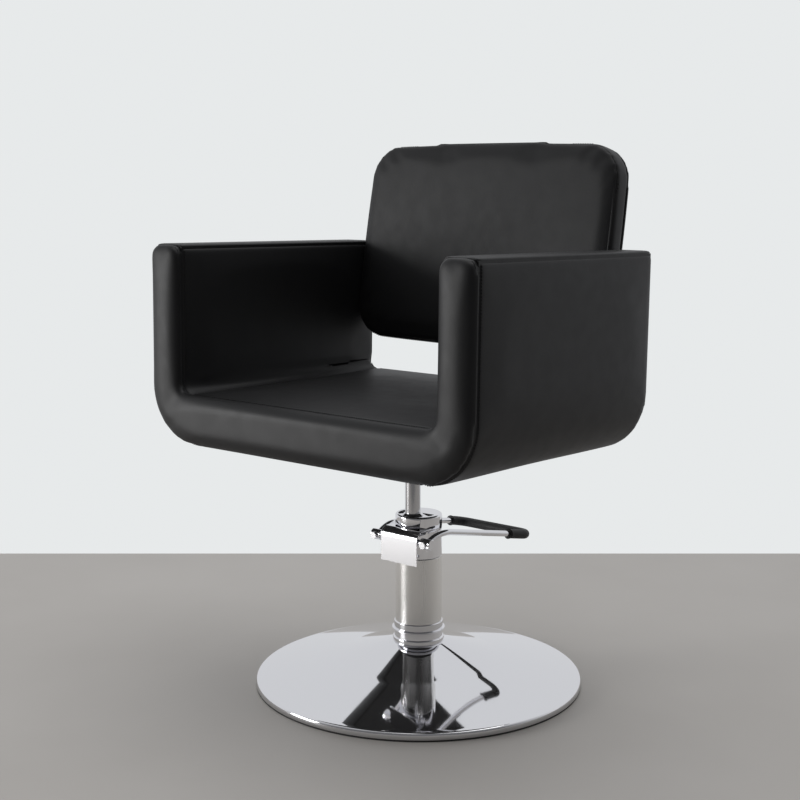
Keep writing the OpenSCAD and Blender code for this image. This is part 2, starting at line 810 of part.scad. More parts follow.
module end_band(y0, y1) {
    tub_frame() along_y(y0, y1) difference() {
        tub_section(tub_half, 0, tub_h, corner_r);
        inner_hollow(tub_h + cut, 0);
    }
}

module arm_foam_left() color([0.75, 0.72, 0.6]) arm_foam(1);
module arm_foam_right() color([0.75, 0.72, 0.6]) arm_foam(-1);
module inner_cover_left() color([0.1, 0.1, 0.11]) inner_cover(1);
module inner_cover_right() color([0.1, 0.1, 0.11]) inner_cover(-1);
module side_panel_left() color([0.12, 0.12, 0.13]) side_panel(1);
module side_panel_right() color([0.12, 0.12, 0.13]) side_panel(-1);
module arm_top_left() color([0.14, 0.14, 0.15]) arm_top(1);
module arm_top_right() color([0.14, 0.14, 0.15]) arm_top(-1);
module front_band() color([0.2, 0.2, 0.21]) end_band(-tub_front, band_back);
module rear_band() color([0.2, 0.2, 0.21]) end_band(rear_start, tub_rear);

// ---- back ----

board_inset = 14;
cushion_depth = back_t - back_rear_t - back_board_t;
// The lower bolts stand just under the level where the side edges turn straight
lower_bolt_z = back_corner_r - 8;
bolt_rows = [lower_bolt_z, lower_bolt_z + bolt_row_gap];
back_gap = inner_half - back_w / 2;
back_bolt_y = cushion_depth + back_board_t / 2;
bolt_grip = 45;
bolt_start = back_w / 2 - bolt_grip;
bolt_head_r = back_bolt_r + 3;
bolt_head_t = 3;
spacer_wall = 7;

module back_outline(inset) {
    r = back_corner_r - inset;
    w = back_w / 2 - inset;
    translate([-w + r, inset]) square([2 * (w - r), back_h - 2 * inset]);
    translate([-w, inset + r]) square([2 * w, back_h - 2 * (inset + r)]);
    for (x = [-w + r, w - r]) for (z = [inset + r, back_h - inset - r])
        translate([x, z]) circle(r = r);
}

module at_back_bolts(x0) {
    back_frame() for (s = [-1, 1]) for (z = bolt_rows)
        translate([s * x0, back_bolt_y, z]) rotate([0, s * 90, 0]) children();
}

module back_bolt_bodies() {
    at_back_bolts(bolt_start) cylinder(h = ply_out - bolt_start, r = back_bolt_r);
    at_back_bolts(ply_out) cylinder(h = bolt_head_t, r = bolt_head_r);
}

module back_board() color("burlywood") difference() {
    back_frame() along_y(cushion_depth, cushion_depth + back_board_t) back_outline(board_inset);
    back_bolt_bodies();
}

front_layer_t = back_t - back_rear_t;

module back_foam() color([0.75, 0.72, 0.6]) difference() {
    back_frame() along_y(cover_leather_t, front_layer_t) back_outline(cover_leather_t);
    back_frame() along_y(cushion_depth, back_t) back_outline(board_inset);
    back_bolt_bodies();
}

module back_cover() color([0.15, 0.15, 0.16]) difference() {
    back_frame() along_y(0, front_layer_t) back_outline(0);
    back_frame() along_y(cover_leather_t, back_t) back_outline(cover_leather_t);
    back_bolt_bodies();
}

module back_rear_pad() color([0.12, 0.12, 0.13]) back_frame()
    along_y(front_layer_t, back_t) back_outline(0);

module back_bolts() color("gray") back_bolt_bodies();

module back_spacers() color([0.1, 0.1, 0.1]) at_back_bolts(back_w / 2)
    ring(back_bolt_r, back_bolt_r + spacer_wall, 0, back_gap);

floor_plate();
floor_ring();
base_dome();
lower_collar();
collar_ring();
column_tube();
column_flange();
flange_screws();
lower_race();
bearing_balls();
ball_cage();
upper_race();
lower_bush();
upper_bush();
oil_tank();
ram_cylinder();
plunger_barrel();
head_block();
ram_seal();
gland_nut();
wiper_ring();
head_cover();
pedal_bracket();
bracket_cover();
ram();
piston();
piston_seal();
plunger();
plunger_spring();
rocker_shaft();
rocker_fork();
pedal_loop();
pedal_sleeve();
hub_screws();
seat_plate();
seat_bolts();
seat_tee_nuts();
plywood_shell();
seat_board();
dust_cover();
seat_foam();
seat_cover();
arm_foam_left();
arm_foam_right();
inner_cover_left();
inner_cover_right();
arm_top_left();
arm_top_right();
side_panel_left();
side_panel_right();
front_band();
rear_band();
back_board();
back_foam();
back_cover();
back_rear_pad();
back_bolts();
back_spacers();
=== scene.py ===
import json
import math

import bmesh
import bpy
from mathutils import Matrix, Vector
from mathutils.bvhtree import BVHTree


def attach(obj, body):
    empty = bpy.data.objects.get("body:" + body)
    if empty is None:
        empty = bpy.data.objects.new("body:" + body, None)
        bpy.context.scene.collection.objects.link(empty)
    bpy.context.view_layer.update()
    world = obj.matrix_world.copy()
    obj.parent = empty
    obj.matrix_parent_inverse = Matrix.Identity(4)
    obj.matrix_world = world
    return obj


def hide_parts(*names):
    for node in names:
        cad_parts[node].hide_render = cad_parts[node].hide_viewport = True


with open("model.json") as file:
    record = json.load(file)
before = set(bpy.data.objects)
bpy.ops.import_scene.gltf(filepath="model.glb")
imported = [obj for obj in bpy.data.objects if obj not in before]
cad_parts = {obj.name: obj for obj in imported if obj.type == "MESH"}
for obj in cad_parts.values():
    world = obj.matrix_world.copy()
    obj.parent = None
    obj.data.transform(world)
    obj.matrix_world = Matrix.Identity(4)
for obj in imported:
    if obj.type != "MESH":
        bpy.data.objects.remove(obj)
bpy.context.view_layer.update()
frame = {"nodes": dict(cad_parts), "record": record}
nodes = frame["nodes"]

# ---- sizes, in metres, the same as the frame's ----

MM = 0.001
TUB_Z = 401 * MM            # height of the tub's underside
TUB_TILT = -1.1             # degrees, the seat falls towards the back
TUB_HALF = 320 * MM
TUB_FRONT = -288 * MM
TUB_REAR = 180 * MM
TUB_H = 315 * MM
ARM_T = 63.5 * MM
SEAT_H = 81.5 * MM
CORNER_R = 93 * MM          # outer corner where an arm turns into the underside
INNER_R = 15 * MM           # inner corner where an arm meets the seat
BAND_T = 15 * MM            # depth of the front band
REAR_T = 6 * MM
TOP_PAD = 8 * MM            # the top seams lie this far below the arm tops
PAD_T = 8 * MM              # outer padding over the plywood
PLY_T = 12 * MM
INNER_HALF = TUB_HALF - ARM_T
BAND_Y = TUB_FRONT + BAND_T
LAP = 1.5 * MM              # neighbouring covers press into each other this far at a seam
REAR_Y = TUB_REAR - REAR_T
TOP_Z = TUB_H - TOP_PAD
BOARD_HALF = TUB_HALF - CORNER_R
CUSHION_Z = PAD_T + PLY_T + 15 * MM

BACK_Y = 121.5 * MM
BACK_Z = 550 * MM
BACK_RECLINE = -10.3        # degrees
BACK_W = 492 * MM
BACK_H = 328 * MM
BACK_T = 46 * MM
BACK_R = 62 * MM
BACK_REAR_T = 8 * MM

BASE_R = 267.5 * MM
RIM_H = 14 * MM
DOME_BEND = (135 * MM, 42 * MM)     # radius and height where the outer cone turns up
DOME_TOP = 70 * MM
DOME_WALL = 2 * MM
COLUMN_R = 38 * MM
COLLAR_H = 20 * MM
RING_H = 14 * MM
COLUMN_TOP = 213 * MM
HEAD_Z = 213.6 * MM
HEAD_TOP = 283 * MM
RAM_Y = -15 * MM            # the ram stands in front of the column's axis

SHAFT_Y, SHAFT_Z = -42 * MM, 247 * MM
HUB_X = 51 * MM
ROD_R = 5 * MM
SLEEVE_R = 8 * MM
BEND_X, BEND_Z = 54 * MM, 259.5 * MM
PEDAL_REACH = 208 * MM
PEDAL_HALF = 76 * MM
PEDAL_CORNER = 22 * MM
PEDAL_DROP = 41 * MM
PEDAL_HUB_R, PEDAL_HUB_LEN = 8.5 * MM, 20 * MM

ARM_TAPER = 3 * MM          # an arm's outer face draws in this far, and as far again at its corner
INNER_SWELL = 5 * MM        # the padding inside stands out this far at the rear

TUB = Matrix.Translation((0, 0, TUB_Z)) @ Matrix.Rotation(math.radians(TUB_TILT), 4, "X")
BACK = Matrix.Translation((0, BACK_Y, BACK_Z)) @ Matrix.Rotation(math.radians(BACK_RECLINE), 4, "X")


# ---- materials ----

def shader(name, colour, roughness, metallic=0.0):
    """A new material, its node tree and its Principled shader."""
    made = bpy.data.materials.new(name)
    made.use_nodes = True
    tree = made.node_tree
    principled = tree.nodes["Principled BSDF"]
    principled.inputs["Base Color"].default_value = (*colour, 1)
    principled.inputs["Roughness"].default_value = roughness
    principled.inputs["Metallic"].default_value = metallic
    return made, tree, principled


def place(tree, stretch=(1, 1, 1)):
    """Object coordinates, stretched."""
    coords = tree.nodes.new("ShaderNodeTexCoord")
    mapping = tree.nodes.new("ShaderNodeMapping")
    mapping.inputs["Scale"].default_value = stretch
    tree.links.new(coords.outputs["Object"], mapping.inputs["Vector"])
    return mapping.outputs["Vector"]


def noise(tree, where, scale, detail=4.0, rough=0.55):
    made = tree.nodes.new("ShaderNodeTexNoise")
    made.inputs["Scale"].default_value = scale
    made.inputs["Detail"].default_value = detail
    made.inputs["Roughness"].default_value = rough
    tree.links.new(where, made.inputs["Vector"])
    return made.outputs["Fac"]


def cells(tree, where, scale):
    made = tree.nodes.new("ShaderNodeTexVoronoi")
    made.feature = "SMOOTH_F1"
    made.inputs["Scale"].default_value = scale
    tree.links.new(where, made.inputs["Vector"])
    return made.outputs["Distance"]


def spread(tree, value, low, high):
    """Maps a pattern's middle range onto low to high."""
    made = tree.nodes.new("ShaderNodeMapRange")
    made.inputs["From Min"].default_value = 0.3
    made.inputs["From Max"].default_value = 0.7
    made.inputs["To Min"].default_value = low
    made.inputs["To Max"].default_value = high
    tree.links.new(value, made.inputs["Value"])
    return made.outputs["Result"]


def tint(tree, value, dark, light):
    made = tree.nodes.new("ShaderNodeValToRGB")
    made.color_ramp.elements[0].position = 0.3
    made.color_ramp.elements[0].color = (*dark, 1)
    made.color_ramp.elements[1].position = 0.7
    made.color_ramp.elements[1].color = (*light, 1)
    tree.links.new(value, made.inputs["Fac"])
    return made.outputs["Color"]


def bumped(tree, principled, heights):
    """Adds bump layers: (height, strength, depth in metres)."""
    normal = None
    for height, strength, depth in heights:
        made = tree.nodes.new("ShaderNodeBump")
        made.inputs["Strength"].default_value = strength
        made.inputs["Distance"].default_value = depth
        tree.links.new(height, made.inputs["Height"])
        if normal is not None:
            tree.links.new(normal, made.inputs["Normal"])
        normal = made.outputs["Normal"]
    tree.links.new(normal, principled.inputs["Normal"])


def leather():
    made, tree, principled = shader("black_leather", (0.009, 0.009, 0.0095), 0.5)
    principled.inputs["Specular IOR Level"].default_value = 0.36
    where = place(tree)
    slow = noise(tree, where, 9)
    tree.links.new(tint(tree, slow, (0.0082, 0.0082, 0.0088), (0.0098, 0.0098, 0.0105)),
                   principled.inputs["Base Color"])
    tree.links.new(spread(tree, noise(tree, where, 40), 0.48, 0.53), principled.inputs["Roughness"])
    bumped(tree, principled, [
        (noise(tree, where, 14, 2), 0.06, 0.0005),
        (cells(tree, where, 620), 0.35, 0.00018),
        (noise(tree, where, 1500, 2), 0.25, 0.00008),
    ])
    return made


def polished(name, colour, rough):
    """Plated steel: a mirror with faint wiping marks."""
    made, tree, principled = shader(name, colour, rough, 1.0)
    where = place(tree)
    tree.links.new(spread(tree, noise(tree, where, 14), rough * 0.6, rough * 1.6),
                   principled.inputs["Roughness"])
    bumped(tree, principled, [(noise(tree, where, 5, 1), 0.05, 0.0004)])
    return made


def brushed(name, colour, rough, stretch):
    """Steel with fine brushing that runs across the stretched axis."""
    made, tree, principled = shader(name, colour, rough, 1.0)
    lines = noise(tree, place(tree, stretch), 60, 6)
    tree.links.new(spread(tree, lines, rough * 0.75, rough * 1.3), principled.inputs["Roughness"])
    bumped(tree, principled, [(lines, 0.06, 0.00003)])
    return made


def matt(name, dark, light, rough, scale, depth):
    """Rubber, paint, nylon and foam: a mottled dull surface."""
    made, tree, principled = shader(name, dark, rough)
    where = place(tree)
    slow = noise(tree, where, scale)
    tree.links.new(tint(tree, slow, dark, light), principled.inputs["Base Color"])
    tree.links.new(spread(tree, slow, rough * 0.9, min(1, rough * 1.1)), principled.inputs["Roughness"])
    bumped(tree, principled, [(noise(tree, where, scale * 20, 3), 0.3, depth)])
    return made


def plies():
    """Birch plywood: long grain and thin glue lines."""
    made, tree, principled = shader("birch_plywood", (0.5, 0.36, 0.2), 0.6)
    grain = noise(tree, place(tree, (1, 0.08, 1)), 90, 5)
    tree.links.new(tint(tree, grain, (0.42, 0.28, 0.15), (0.62, 0.46, 0.28)),
                   principled.inputs["Base Color"])
    tree.links.new(spread(tree, grain, 0.5, 0.7), principled.inputs["Roughness"])
    bumped(tree, principled, [(grain, 0.2, 0.0002)])
    return made


def woven():
    """Black lining cloth: two crossed sets of threads."""
    made, tree, principled = shader("lining_cloth", (0.02, 0.02, 0.02), 0.9)
    where = place(tree)
    threads = []
    for turn in ("X", "Y"):
        wave = tree.nodes.new("ShaderNodeTexWave")
        wave.bands_direction = turn
        wave.inputs["Scale"].default_value = 320
        wave.inputs["Distortion"].default_value = 0.6
        tree.links.new(where, wave.inputs["Vector"])
        threads.append(wave.outputs["Fac"])
    cross = tree.nodes.new("ShaderNodeMath")
    cross.operation = "MAXIMUM"
    for number, thread in enumerate(threads):
        tree.links.new(thread, cross.inputs[number])
    tree.links.new(tint(tree, cross.outputs[0], (0.008, 0.008, 0.008), (0.03, 0.03, 0.031)),
                   principled.inputs["Base Color"])
    bumped(tree, principled, [(cross.outputs[0], 0.6, 0.0003)])
    return made


LEATHER = leather()
FINISH = {
    "leather": LEATHER,
    "chrome": polished("chrome_plate", (0.86, 0.86, 0.88), 0.035),
    "satin_steel": brushed("satin_steel", (0.88, 0.87, 0.85), 0.24, (1, 1, 0.03)),
    "ram_steel": polished("ground_ram_steel", (0.62, 0.62, 0.63), 0.12),
    "machined_steel": brushed("machined_steel", (0.55, 0.55, 0.55), 0.35, (0.05, 0.05, 1)),
    "dark_steel": matt("painted_steel", (0.012, 0.012, 0.013), (0.02, 0.02, 0.021), 0.45, 20, 0.0001),
    "bronze": brushed("bearing_bronze", (0.5, 0.34, 0.17), 0.35, (0.05, 0.05, 1)),
    "rubber": matt("black_rubber", (0.011, 0.011, 0.011), (0.02, 0.02, 0.02), 0.6, 30, 0.0002),
    "plywood": plies(),
    "foam": matt("cream_foam", (0.6, 0.55, 0.4), (0.72, 0.68, 0.52), 0.95, 40, 0.0006),
    "cloth": woven(),
    "nylon": matt("black_nylon", (0.012, 0.012, 0.012), (0.02, 0.02, 0.02), 0.5, 25, 0.0001),
}
# Black thread, partly its own colour and partly painted shade: it is darker than the leather to stand in
# for the stitches' shadows, and the same material paints the shade in the seam creases.
THREAD_AND_SEAM_SHADE = matt("sewing_thread_and_seam_shade", (0.002, 0.002, 0.002), (0.004, 0.004, 0.004), 0.85, 200, 0.00005)

for part in frame["record"]["subparts"]:
    solid = nodes[part["node"]]
    solid.data.materials.clear()
    solid.data.materials.append(FINISH[part["material_slot"]])


# ---- making pieces ----

def outlined(corners, arc=10):
    """One flat face in the XZ plane. Each corner is (x, z, radius)."""
    bm = bmesh.new()
    verts = [bm.verts.new((x, 0, z)) for x, z, _ in corners]
    bm.faces.new(verts)
    for vert, (_, _, radius) in zip(verts, corners):
        if radius:
            bmesh.ops.bevel(bm, geom=[vert], offset=radius, offset_type="OFFSET", segments=arc,
                            profile=0.5, affect="VERTICES", material=-1)
    return bm


def deepened(bm, start, end):
    """Gives a flat XZ face a depth along Y."""
    bmesh.ops.translate(bm, verts=bm.verts[:], vec=(0, start, 0))
    made = bmesh.ops.extrude_face_region(bm, geom=bm.faces[:])
    moved = [item for item in made["geom"] if isinstance(item, bmesh.types.BMVert)]
    bmesh.ops.translate(bm, verts=moved, vec=(0, end - start, 0))
    bmesh.ops.recalc_face_normals(bm, faces=bm.faces[:])
    return bm


def rounded(bm, radius, chosen, segments=5):
    """Rounds the edges whose two ends are both chosen."""
    edges = [e for e in bm.edges if all(chosen(v.co) for v in e.verts)]
    bmesh.ops.bevel(bm, geom=edges, offset=radius, offset_type="OFFSET", segments=segments,
                    profile=0.5, affect="EDGES", material=-1)
    return bm


def as_object(name, bm, material, smooth=True):
    mesh = bpy.data.meshes.new(name)
    bm.to_mesh(mesh)
    bm.free()
    made = bpy.data.objects.new(name, mesh)
    bpy.context.scene.collection.objects.link(made)
    mesh.materials.append(material)
    if smooth:
        mesh.shade_smooth()
    return made


def flat_normals(piece):
    """Keeps the flats flat beside narrow rounded edges."""
    weighted = piece.modifiers.new("weighted", "WEIGHTED_NORMAL")
    weighted.weight = 100
    weighted.keep_sharp = True
    return applied(piece)


def hard(name, bm, slot, body, *replaced, turned=False):
    """A metal or rubber piece with smooth shading."""
    bmesh.ops.remove_doubles(bm, verts=bm.verts[:], dist=1e-6)
    bmesh.ops.recalc_face_normals(bm, faces=bm.faces[:])
    piece = as_object(name, bm, FINISH[slot])
    if not turned:
        flat_normals(piece)
    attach(piece, body)
    if replaced:
        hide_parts(*replaced)
    return piece


def spun(corners, steps=160, arc=4):
    """A closed outline of (radius, height, rounding) turned about the Z axis."""
    bm = outlined(corners, arc)
    bmesh.ops.delete(bm, geom=bm.faces[:], context="FACES_ONLY")
    bmesh.ops.spin(bm, geom=bm.verts[:] + bm.edges[:], cent=(0, 0, 0), axis=(0, 0, 1),
                   dvec=(0, 0, 0), angle=2 * math.pi, steps=steps, use_merge=True,
                   use_duplicate=False)
    return bm


def applied(piece):
    """Makes the piece's modifiers part of its mesh."""
    graph = bpy.context.evaluated_depsgraph_get()
    graph.update()
    mesh = bpy.data.meshes.new_from_object(piece.evaluated_get(graph))
    old = piece.data
    piece.modifiers.clear()
    piece.data = mesh
    mesh.name = old.name
    bpy.data.meshes.remove(old)
    return piece


def tube_along(name, points, radius, flares=None, sides=8):
    """A round tube through the points; flares gives each point a share of the radius."""
    curve = bpy.data.curves.new(name, "CURVE")
    curve.dimensions = "3D"
    curve.bevel_depth = radius
    curve.bevel_resolution = sides
    curve.use_fill_caps = True
    spline = curve.splines.new("POLY")
    spline.points.add(len(points) - 1)
    for number, (spot, point) in enumerate(zip(spline.points, points)):
        spot.co = (*point, 1)
        spot.radius = flares[number] if flares else 1.0
    made = bpy.data.objects.new(name, curve)
    bpy.context.scene.collection.objects.link(made)
    graph = bpy.context.evaluated_depsgraph_get()
    mesh = bpy.data.meshes.new_from_object(made.evaluated_get(graph))
    bpy.data.objects.remove(made)
    bm = bmesh.new()
    bm.from_mesh(mesh)
    bpy.data.meshes.remove(mesh)
    return bm


def inflated(piece, hold, cap, pressure):
    """Blows the pad up against its held places. No point moves further than the cap."""
    scene = bpy.context.scene
    before = [v.co.copy() for v in piece.data.vertices]
    group = piece.vertex_groups.new(name="hold")
    group.add([v.index for v in piece.data.vertices if hold(v.co)], 1.0, "REPLACE")
    cloth = piece.modifiers.new("cloth", "CLOTH")
    cloth.settings.vertex_group_mass = "hold"
    cloth.settings.use_pressure = True
    cloth.settings.uniform_pressure_force = pressure
    cloth.settings.effector_weights.gravity = 0
    cloth.settings.quality = 3
    for step in range(1, 21):
        scene.frame_set(step)
    applied(piece)
    scene.frame_set(1)
    for vert, rest in zip(piece.data.vertices, before):
        move = vert.co - rest
        if move.length > cap:
            vert.co = rest + move * (cap / move.length)
    piece.vertex_groups.clear()


def narrowed(piece):
    """Draws the arms' outer faces in towards the rear corners, and swells the inside there."""
    bend_from, curl_from, swell_from = 50 * MM, TUB_REAR - 24 * MM, -100 * MM
    for vert in piece.data.vertices:
        x, y, z = vert.co
        swell = INNER_SWELL * min(1, max(0, (y - swell_from) / (REAR_Y - swell_from)))
        if abs(x) < INNER_HALF and z < SEAT_H + INNER_R:
            vert.co.z += swell * min(1, max(0, (z - CUSHION_Z) / (SEAT_H - CUSHION_Z)))
        if z > SEAT_H:
            rise = min(1, (z - SEAT_H) / (2 * INNER_R))
            near = max(0, 1 - max(0, abs(x) - INNER_HALF) / (0.6 * ARM_T))
            vert.co.x -= math.copysign(swell * rise * near, x)
            x = vert.co.x
        share = min(1, max(0, (abs(x) - INNER_HALF) / ARM_T))
        run = max(0, (y - bend_from) / (TUB_REAR - bend_from))
        curl = max(0, (y - curl_from) / (TUB_REAR - curl_from))
        vert.co.x -= math.copysign(share * (ARM_TAPER * run ** 2 + ARM_TAPER * curl ** 2), x)


def pad(name, bm, matrix, hold, cap=4 * MM, pressure=4.0, voxel=5 * MM, blown=True):
    """A stuffed panel: remeshed evenly, blown up between its seams, and smoothed."""
    piece = as_object(name, bm, LEATHER)
    remesh = piece.modifiers.new("remesh", "REMESH")
    remesh.mode = "VOXEL"
    remesh.voxel_size = voxel
    applied(piece)
    if blown:
        inflated(piece, hold, cap, pressure)
    smooth = bmesh.new()
    smooth.from_mesh(piece.data)
    for _ in range(3):
        bmesh.ops.smooth_vert(smooth, verts=smooth.verts[:], factor=0.5,
                              use_axis_x=True, use_axis_y=True, use_axis_z=True)
    smooth.to_mesh(piece.data)
    smooth.free()
    finer = piece.modifiers.new("finer", "SUBSURF")
    finer.levels = finer.render_levels = 1
    applied(piece)
    if matrix is TUB:
        narrowed(piece)
    piece.data.transform(matrix)
    piece.data.shade_smooth()
    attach(piece, "seat")
    return piece


# ---- the tub's upholstery, built in the tub's own upright frame ----

def u_outline(inset=0.0, soft=13 * MM):
    """The tub's U-shaped section, seen from the front, corner by corner."""
    half, top = TUB_HALF - inset, TUB_H - 1.5 * MM - inset
    inner, seat = INNER_HALF + inset, SEAT_H - inset
    return [
        (-half, top, soft), (-half, inset, CORNER_R - inset),
        (half, inset, CORNER_R - inset), (half, top, soft),
        (inner, top, soft), (inner, seat, INNER_R + inset),
        (-inner, seat, INNER_R + inset), (-inner, top, soft),
    ]


def front_band():
    start = TUB_FRONT - 1 * MM
    bm = deepened(outlined(u_outline(0, 20 * MM)), start, BAND_Y + LAP)
    rounded(bm, 13 * MM, lambda p: p.y < start + 1e-5, 6)
    band = pad("front_band_padding", bm, TUB, lambda p: p.y > BAND_Y - 4 * MM, cap=3 * MM)
    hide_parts("front_band")
    return band


def rear_band():
    end = TUB_REAR - 1 * MM
    bm = deepened(outlined(u_outline(0.5 * MM)), REAR_Y, end)
    rounded(bm, 5 * MM, lambda p: p.y > end - 1e-5, 4)
    band = pad("rear_band_padding", bm, TUB, None, voxel=4 * MM, blown=False)
    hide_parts("rear_band")
    return band


def side_panel(name, side, node):
    """The outer cover of one arm, from the top seam round to the underside."""
    out, inn, low = TUB_HALF - 1 * MM, TUB_HALF - PAD_T, -2 * MM
    corners = [
        (out, TOP_Z + LAP, 0), (out, low, CORNER_R - 1 * MM), (BOARD_HALF, low, 0),
        (BOARD_HALF, PAD_T, 0), (inn, PAD_T, CORNER_R - PAD_T), (inn, TOP_Z + LAP, 0),
    ]
    bm = deepened(outlined([(side * x, z, r) for x, z, r in corners], 16), BAND_Y - LAP, REAR_Y + LAP)

    def held(p):
        inside = math.hypot(max(0, abs(p.x) - BOARD_HALF), max(0, CORNER_R - p.z))
        deep = abs(p.x) < TUB_HALF - 5 * MM if p.z > CORNER_R else inside < CORNER_R - 5 * MM
        return (deep or p.z > TOP_Z - 4 * MM or p.y < BAND_Y + 4 * MM or p.y > REAR_Y - 4 * MM
                or abs(p.x) < BOARD_HALF + 4 * MM)

    panel = pad(name, bm, TUB, held, cap=4 * MM, voxel=6 * MM)
    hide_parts(node)
    return panel


def arm_top(name, side, node):
    """The strip along the top of one arm."""
    low, high = TOP_Z - LAP, TUB_H - 1.5 * MM
    edge = 0.5 * MM
    corners = [
        (side * (INNER_HALF + edge), low, 0), (side * (TUB_HALF - edge), low, 0),
        (side * (TUB_HALF - edge), high, 6 * MM), (side * (INNER_HALF + edge), high, 6 * MM),
    ]
    bm = deepened(outlined(corners, 4), BAND_Y - LAP, REAR_Y + LAP)
    strip = pad(name, bm, TUB, None, voxel=4 * MM, blown=False)
    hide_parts(node)
    return strip


def inner_panel(name, side, covers):
    """The padded inner face of one arm, down to the seat."""
    inner, back_of = INNER_HALF + 1 * MM, TUB_HALF - PAD_T - PLY_T
    foot = INNER_HALF - INNER_R
    corners = [
        (side * inner, TOP_Z + LAP, 0), (side * inner, SEAT_H - 1 * MM, INNER_R),
        (side * foot, SEAT_H - 1 * MM, 0), (side * foot, CUSHION_Z, 0),
        (side * back_of, CUSHION_Z, 0), (side * back_of, TOP_Z + LAP, 0),
    ]
    bm = deepened(outlined(corners, 6), BAND_Y - LAP, REAR_Y + LAP)

    def held(p):
        return (abs(p.x) > INNER_HALF + 8 * MM or p.z > TOP_Z - 4 * MM or p.z < SEAT_H - 6 * MM
                or p.y < BAND_Y + 4 * MM or p.y > REAR_Y - 4 * MM or abs(p.x) < foot + 4 * MM)

    panel = pad(name, bm, TUB, held, cap=4 * MM, voxel=6 * MM)
    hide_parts(*covers)
    return panel


def seat_cushion():
    """The seat pad between the two inner panels."""
    half = INNER_HALF - INNER_R + LAP
    corners = [(-half, CUSHION_Z, 0), (half, CUSHION_Z, 0),
               (half, SEAT_H - 1 * MM, 2 * MM), (-half, SEAT_H - 1 * MM, 2 * MM)]
    bm = deepened(outlined(corners, 3), BAND_Y - LAP, REAR_Y + LAP)

    def held(p):
        return (p.z < SEAT_H - 12 * MM or abs(p.x) > half - 3 * MM
                or p.y < BAND_Y + 3 * MM or p.y > REAR_Y - 3 * MM)

    cushion = pad("seat_cushion", bm, TUB, held, cap=6 * MM, voxel=6 * MM)
    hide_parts("seat_cover", "seat_foam")
    return cushion


def seam_allowances():
    """The turned-in leather behind each seam, which closes the groove between two covers."""
    deep, half = 3 * MM, 6 * MM
    pieces = [(BAND_Y - half, BAND_Y + half), (REAR_Y - half, REAR_Y + 2 * MM)]
    for number, (start, end) in enumerate(pieces):
        piece = as_object(f"seam_allowance_{number}", deepened(outlined(u_outline(deep)), start, end),
                          LEATHER, smooth=False)
        narrowed(piece)
        yield piece
    near, away = INNER_HALF + deep, TUB_HALF - deep
    low, high = TOP_Z - half, TOP_Z + 2 * MM
    for number, side in enumerate((-1, 1), len(pieces)):
        corners = [(side * near, low, 0), (side * away, low, 0),
                   (side * away, high, 0), (side * near, high, 0)]
        bm = deepened(outlined(corners), BAND_Y, REAR_Y)
        long_edges = [e for e in bm.edges if abs(e.verts[0].co.y - e.verts[1].co.y) > half]
        bmesh.ops.subdivide_edges(bm, edges=long_edges, cuts=24)
        piece = as_object(f"seam_allowance_{number}", bm, LEATHER, smooth=False)
        narrowed(piece)
        yield piece


for strip in seam_allowances():
    strip.data.transform(TUB)
    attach(strip, "seat")
BAND = front_band()
REAR = rear_band()
SIDES = [side_panel("outer_cover_left", 1, "side_panel_left"),
         side_panel("outer_cover_right", -1, "side_panel_right")]
TOPS = [arm_top("arm_top_cover_left", 1, "arm_top_left"),
        arm_top("arm_top_cover_right", -1, "arm_top_right")]
INNERS = [inner_panel("inner_cover_pad_left", 1, ("inner_cover_left", "arm_foam_left")),
          inner_panel("inner_cover_pad_right", -1, ("inner_cover_right", "arm_foam_right"))]
SEAT = seat_cushion()


# ---- the back, built upright in its own frame ----

BACK_SEAM_Y = 9 * MM        # the front seam lies this far behind the front face
BACK_REAR_Y = BACK_T - BACK_REAR_T + 2 * MM
BACK_GROW = -3 * MM         # the padding swells the back past its frame
BACK_LIFT = 2 * MM


def back_corners(inset):
    """The back's outline, whose four sides bow out a little."""
    half, radius, bow = BACK_W / 2 - inset, BACK_R - inset - 12 * MM, 5 * MM
    low, high, steps = inset + 2 * BACK_LIFT, BACK_H - inset, 12
    margin = 8 * MM             # room kept between a rounded corner and the side's first point
    middle = (low + high) / 2

    def bowed(x, z):
        wide = 1 - (x / half) ** 2
        tall = 1 - ((z - middle) / (high - middle)) ** 2
        return (x + math.copysign(bow * tall, x) * abs(x / half) ** 8,
                z + math.copysign(bow * wide, z - middle) * abs((z - middle) / (high - middle)) ** 8)

    corners = [(-half, low), (half, low), (half, high), (-half, high)]
    points = []
    for number, (x0, z0) in enumerate(corners):
        x1, z1 = corners[(number + 1) % 4]
        points.append((x0, z0, radius))
        length = math.hypot(x1 - x0, z1 - z0)
        for step in range(steps + 1):
            t = (radius + margin + (length - 2 * radius - 2 * margin) * step / steps) / length
            points.append((*bowed(x0 + (x1 - x0) * t, z0 + (z1 - z0) * t), 0))
    return points


def back_front():
    start = 1 * MM
    bm = deepened(outlined(back_corners(BACK_GROW), 14), start, BACK_SEAM_Y + LAP)
    rounded(bm, 6 * MM, lambda p: p.y < start + 1e-5, 4)
    panel = pad("back_front_panel", bm, BACK, lambda p: p.y > BACK_SEAM_Y - 3 * MM,
                cap=2.5 * MM, pressure=2.5)
    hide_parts("back_cover", "back_foam")
    return panel


def back_boxing():
    bm = deepened(outlined(back_corners(BACK_GROW), 14), BACK_SEAM_Y - LAP, BACK_REAR_Y + LAP)
    return pad("back_boxing", bm, BACK, None, blown=False)


def back_rear():
    end = BACK_T + 2 * MM
    bm = deepened(outlined(back_corners(BACK_GROW), 14), BACK_REAR_Y - LAP, end)
    rounded(bm, 4 * MM, lambda p: p.y > end - 1e-5, 4)
    panel = pad("back_rear_panel", bm, BACK, None, voxel=4 * MM, blown=False)
    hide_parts("back_rear_pad")
    return panel


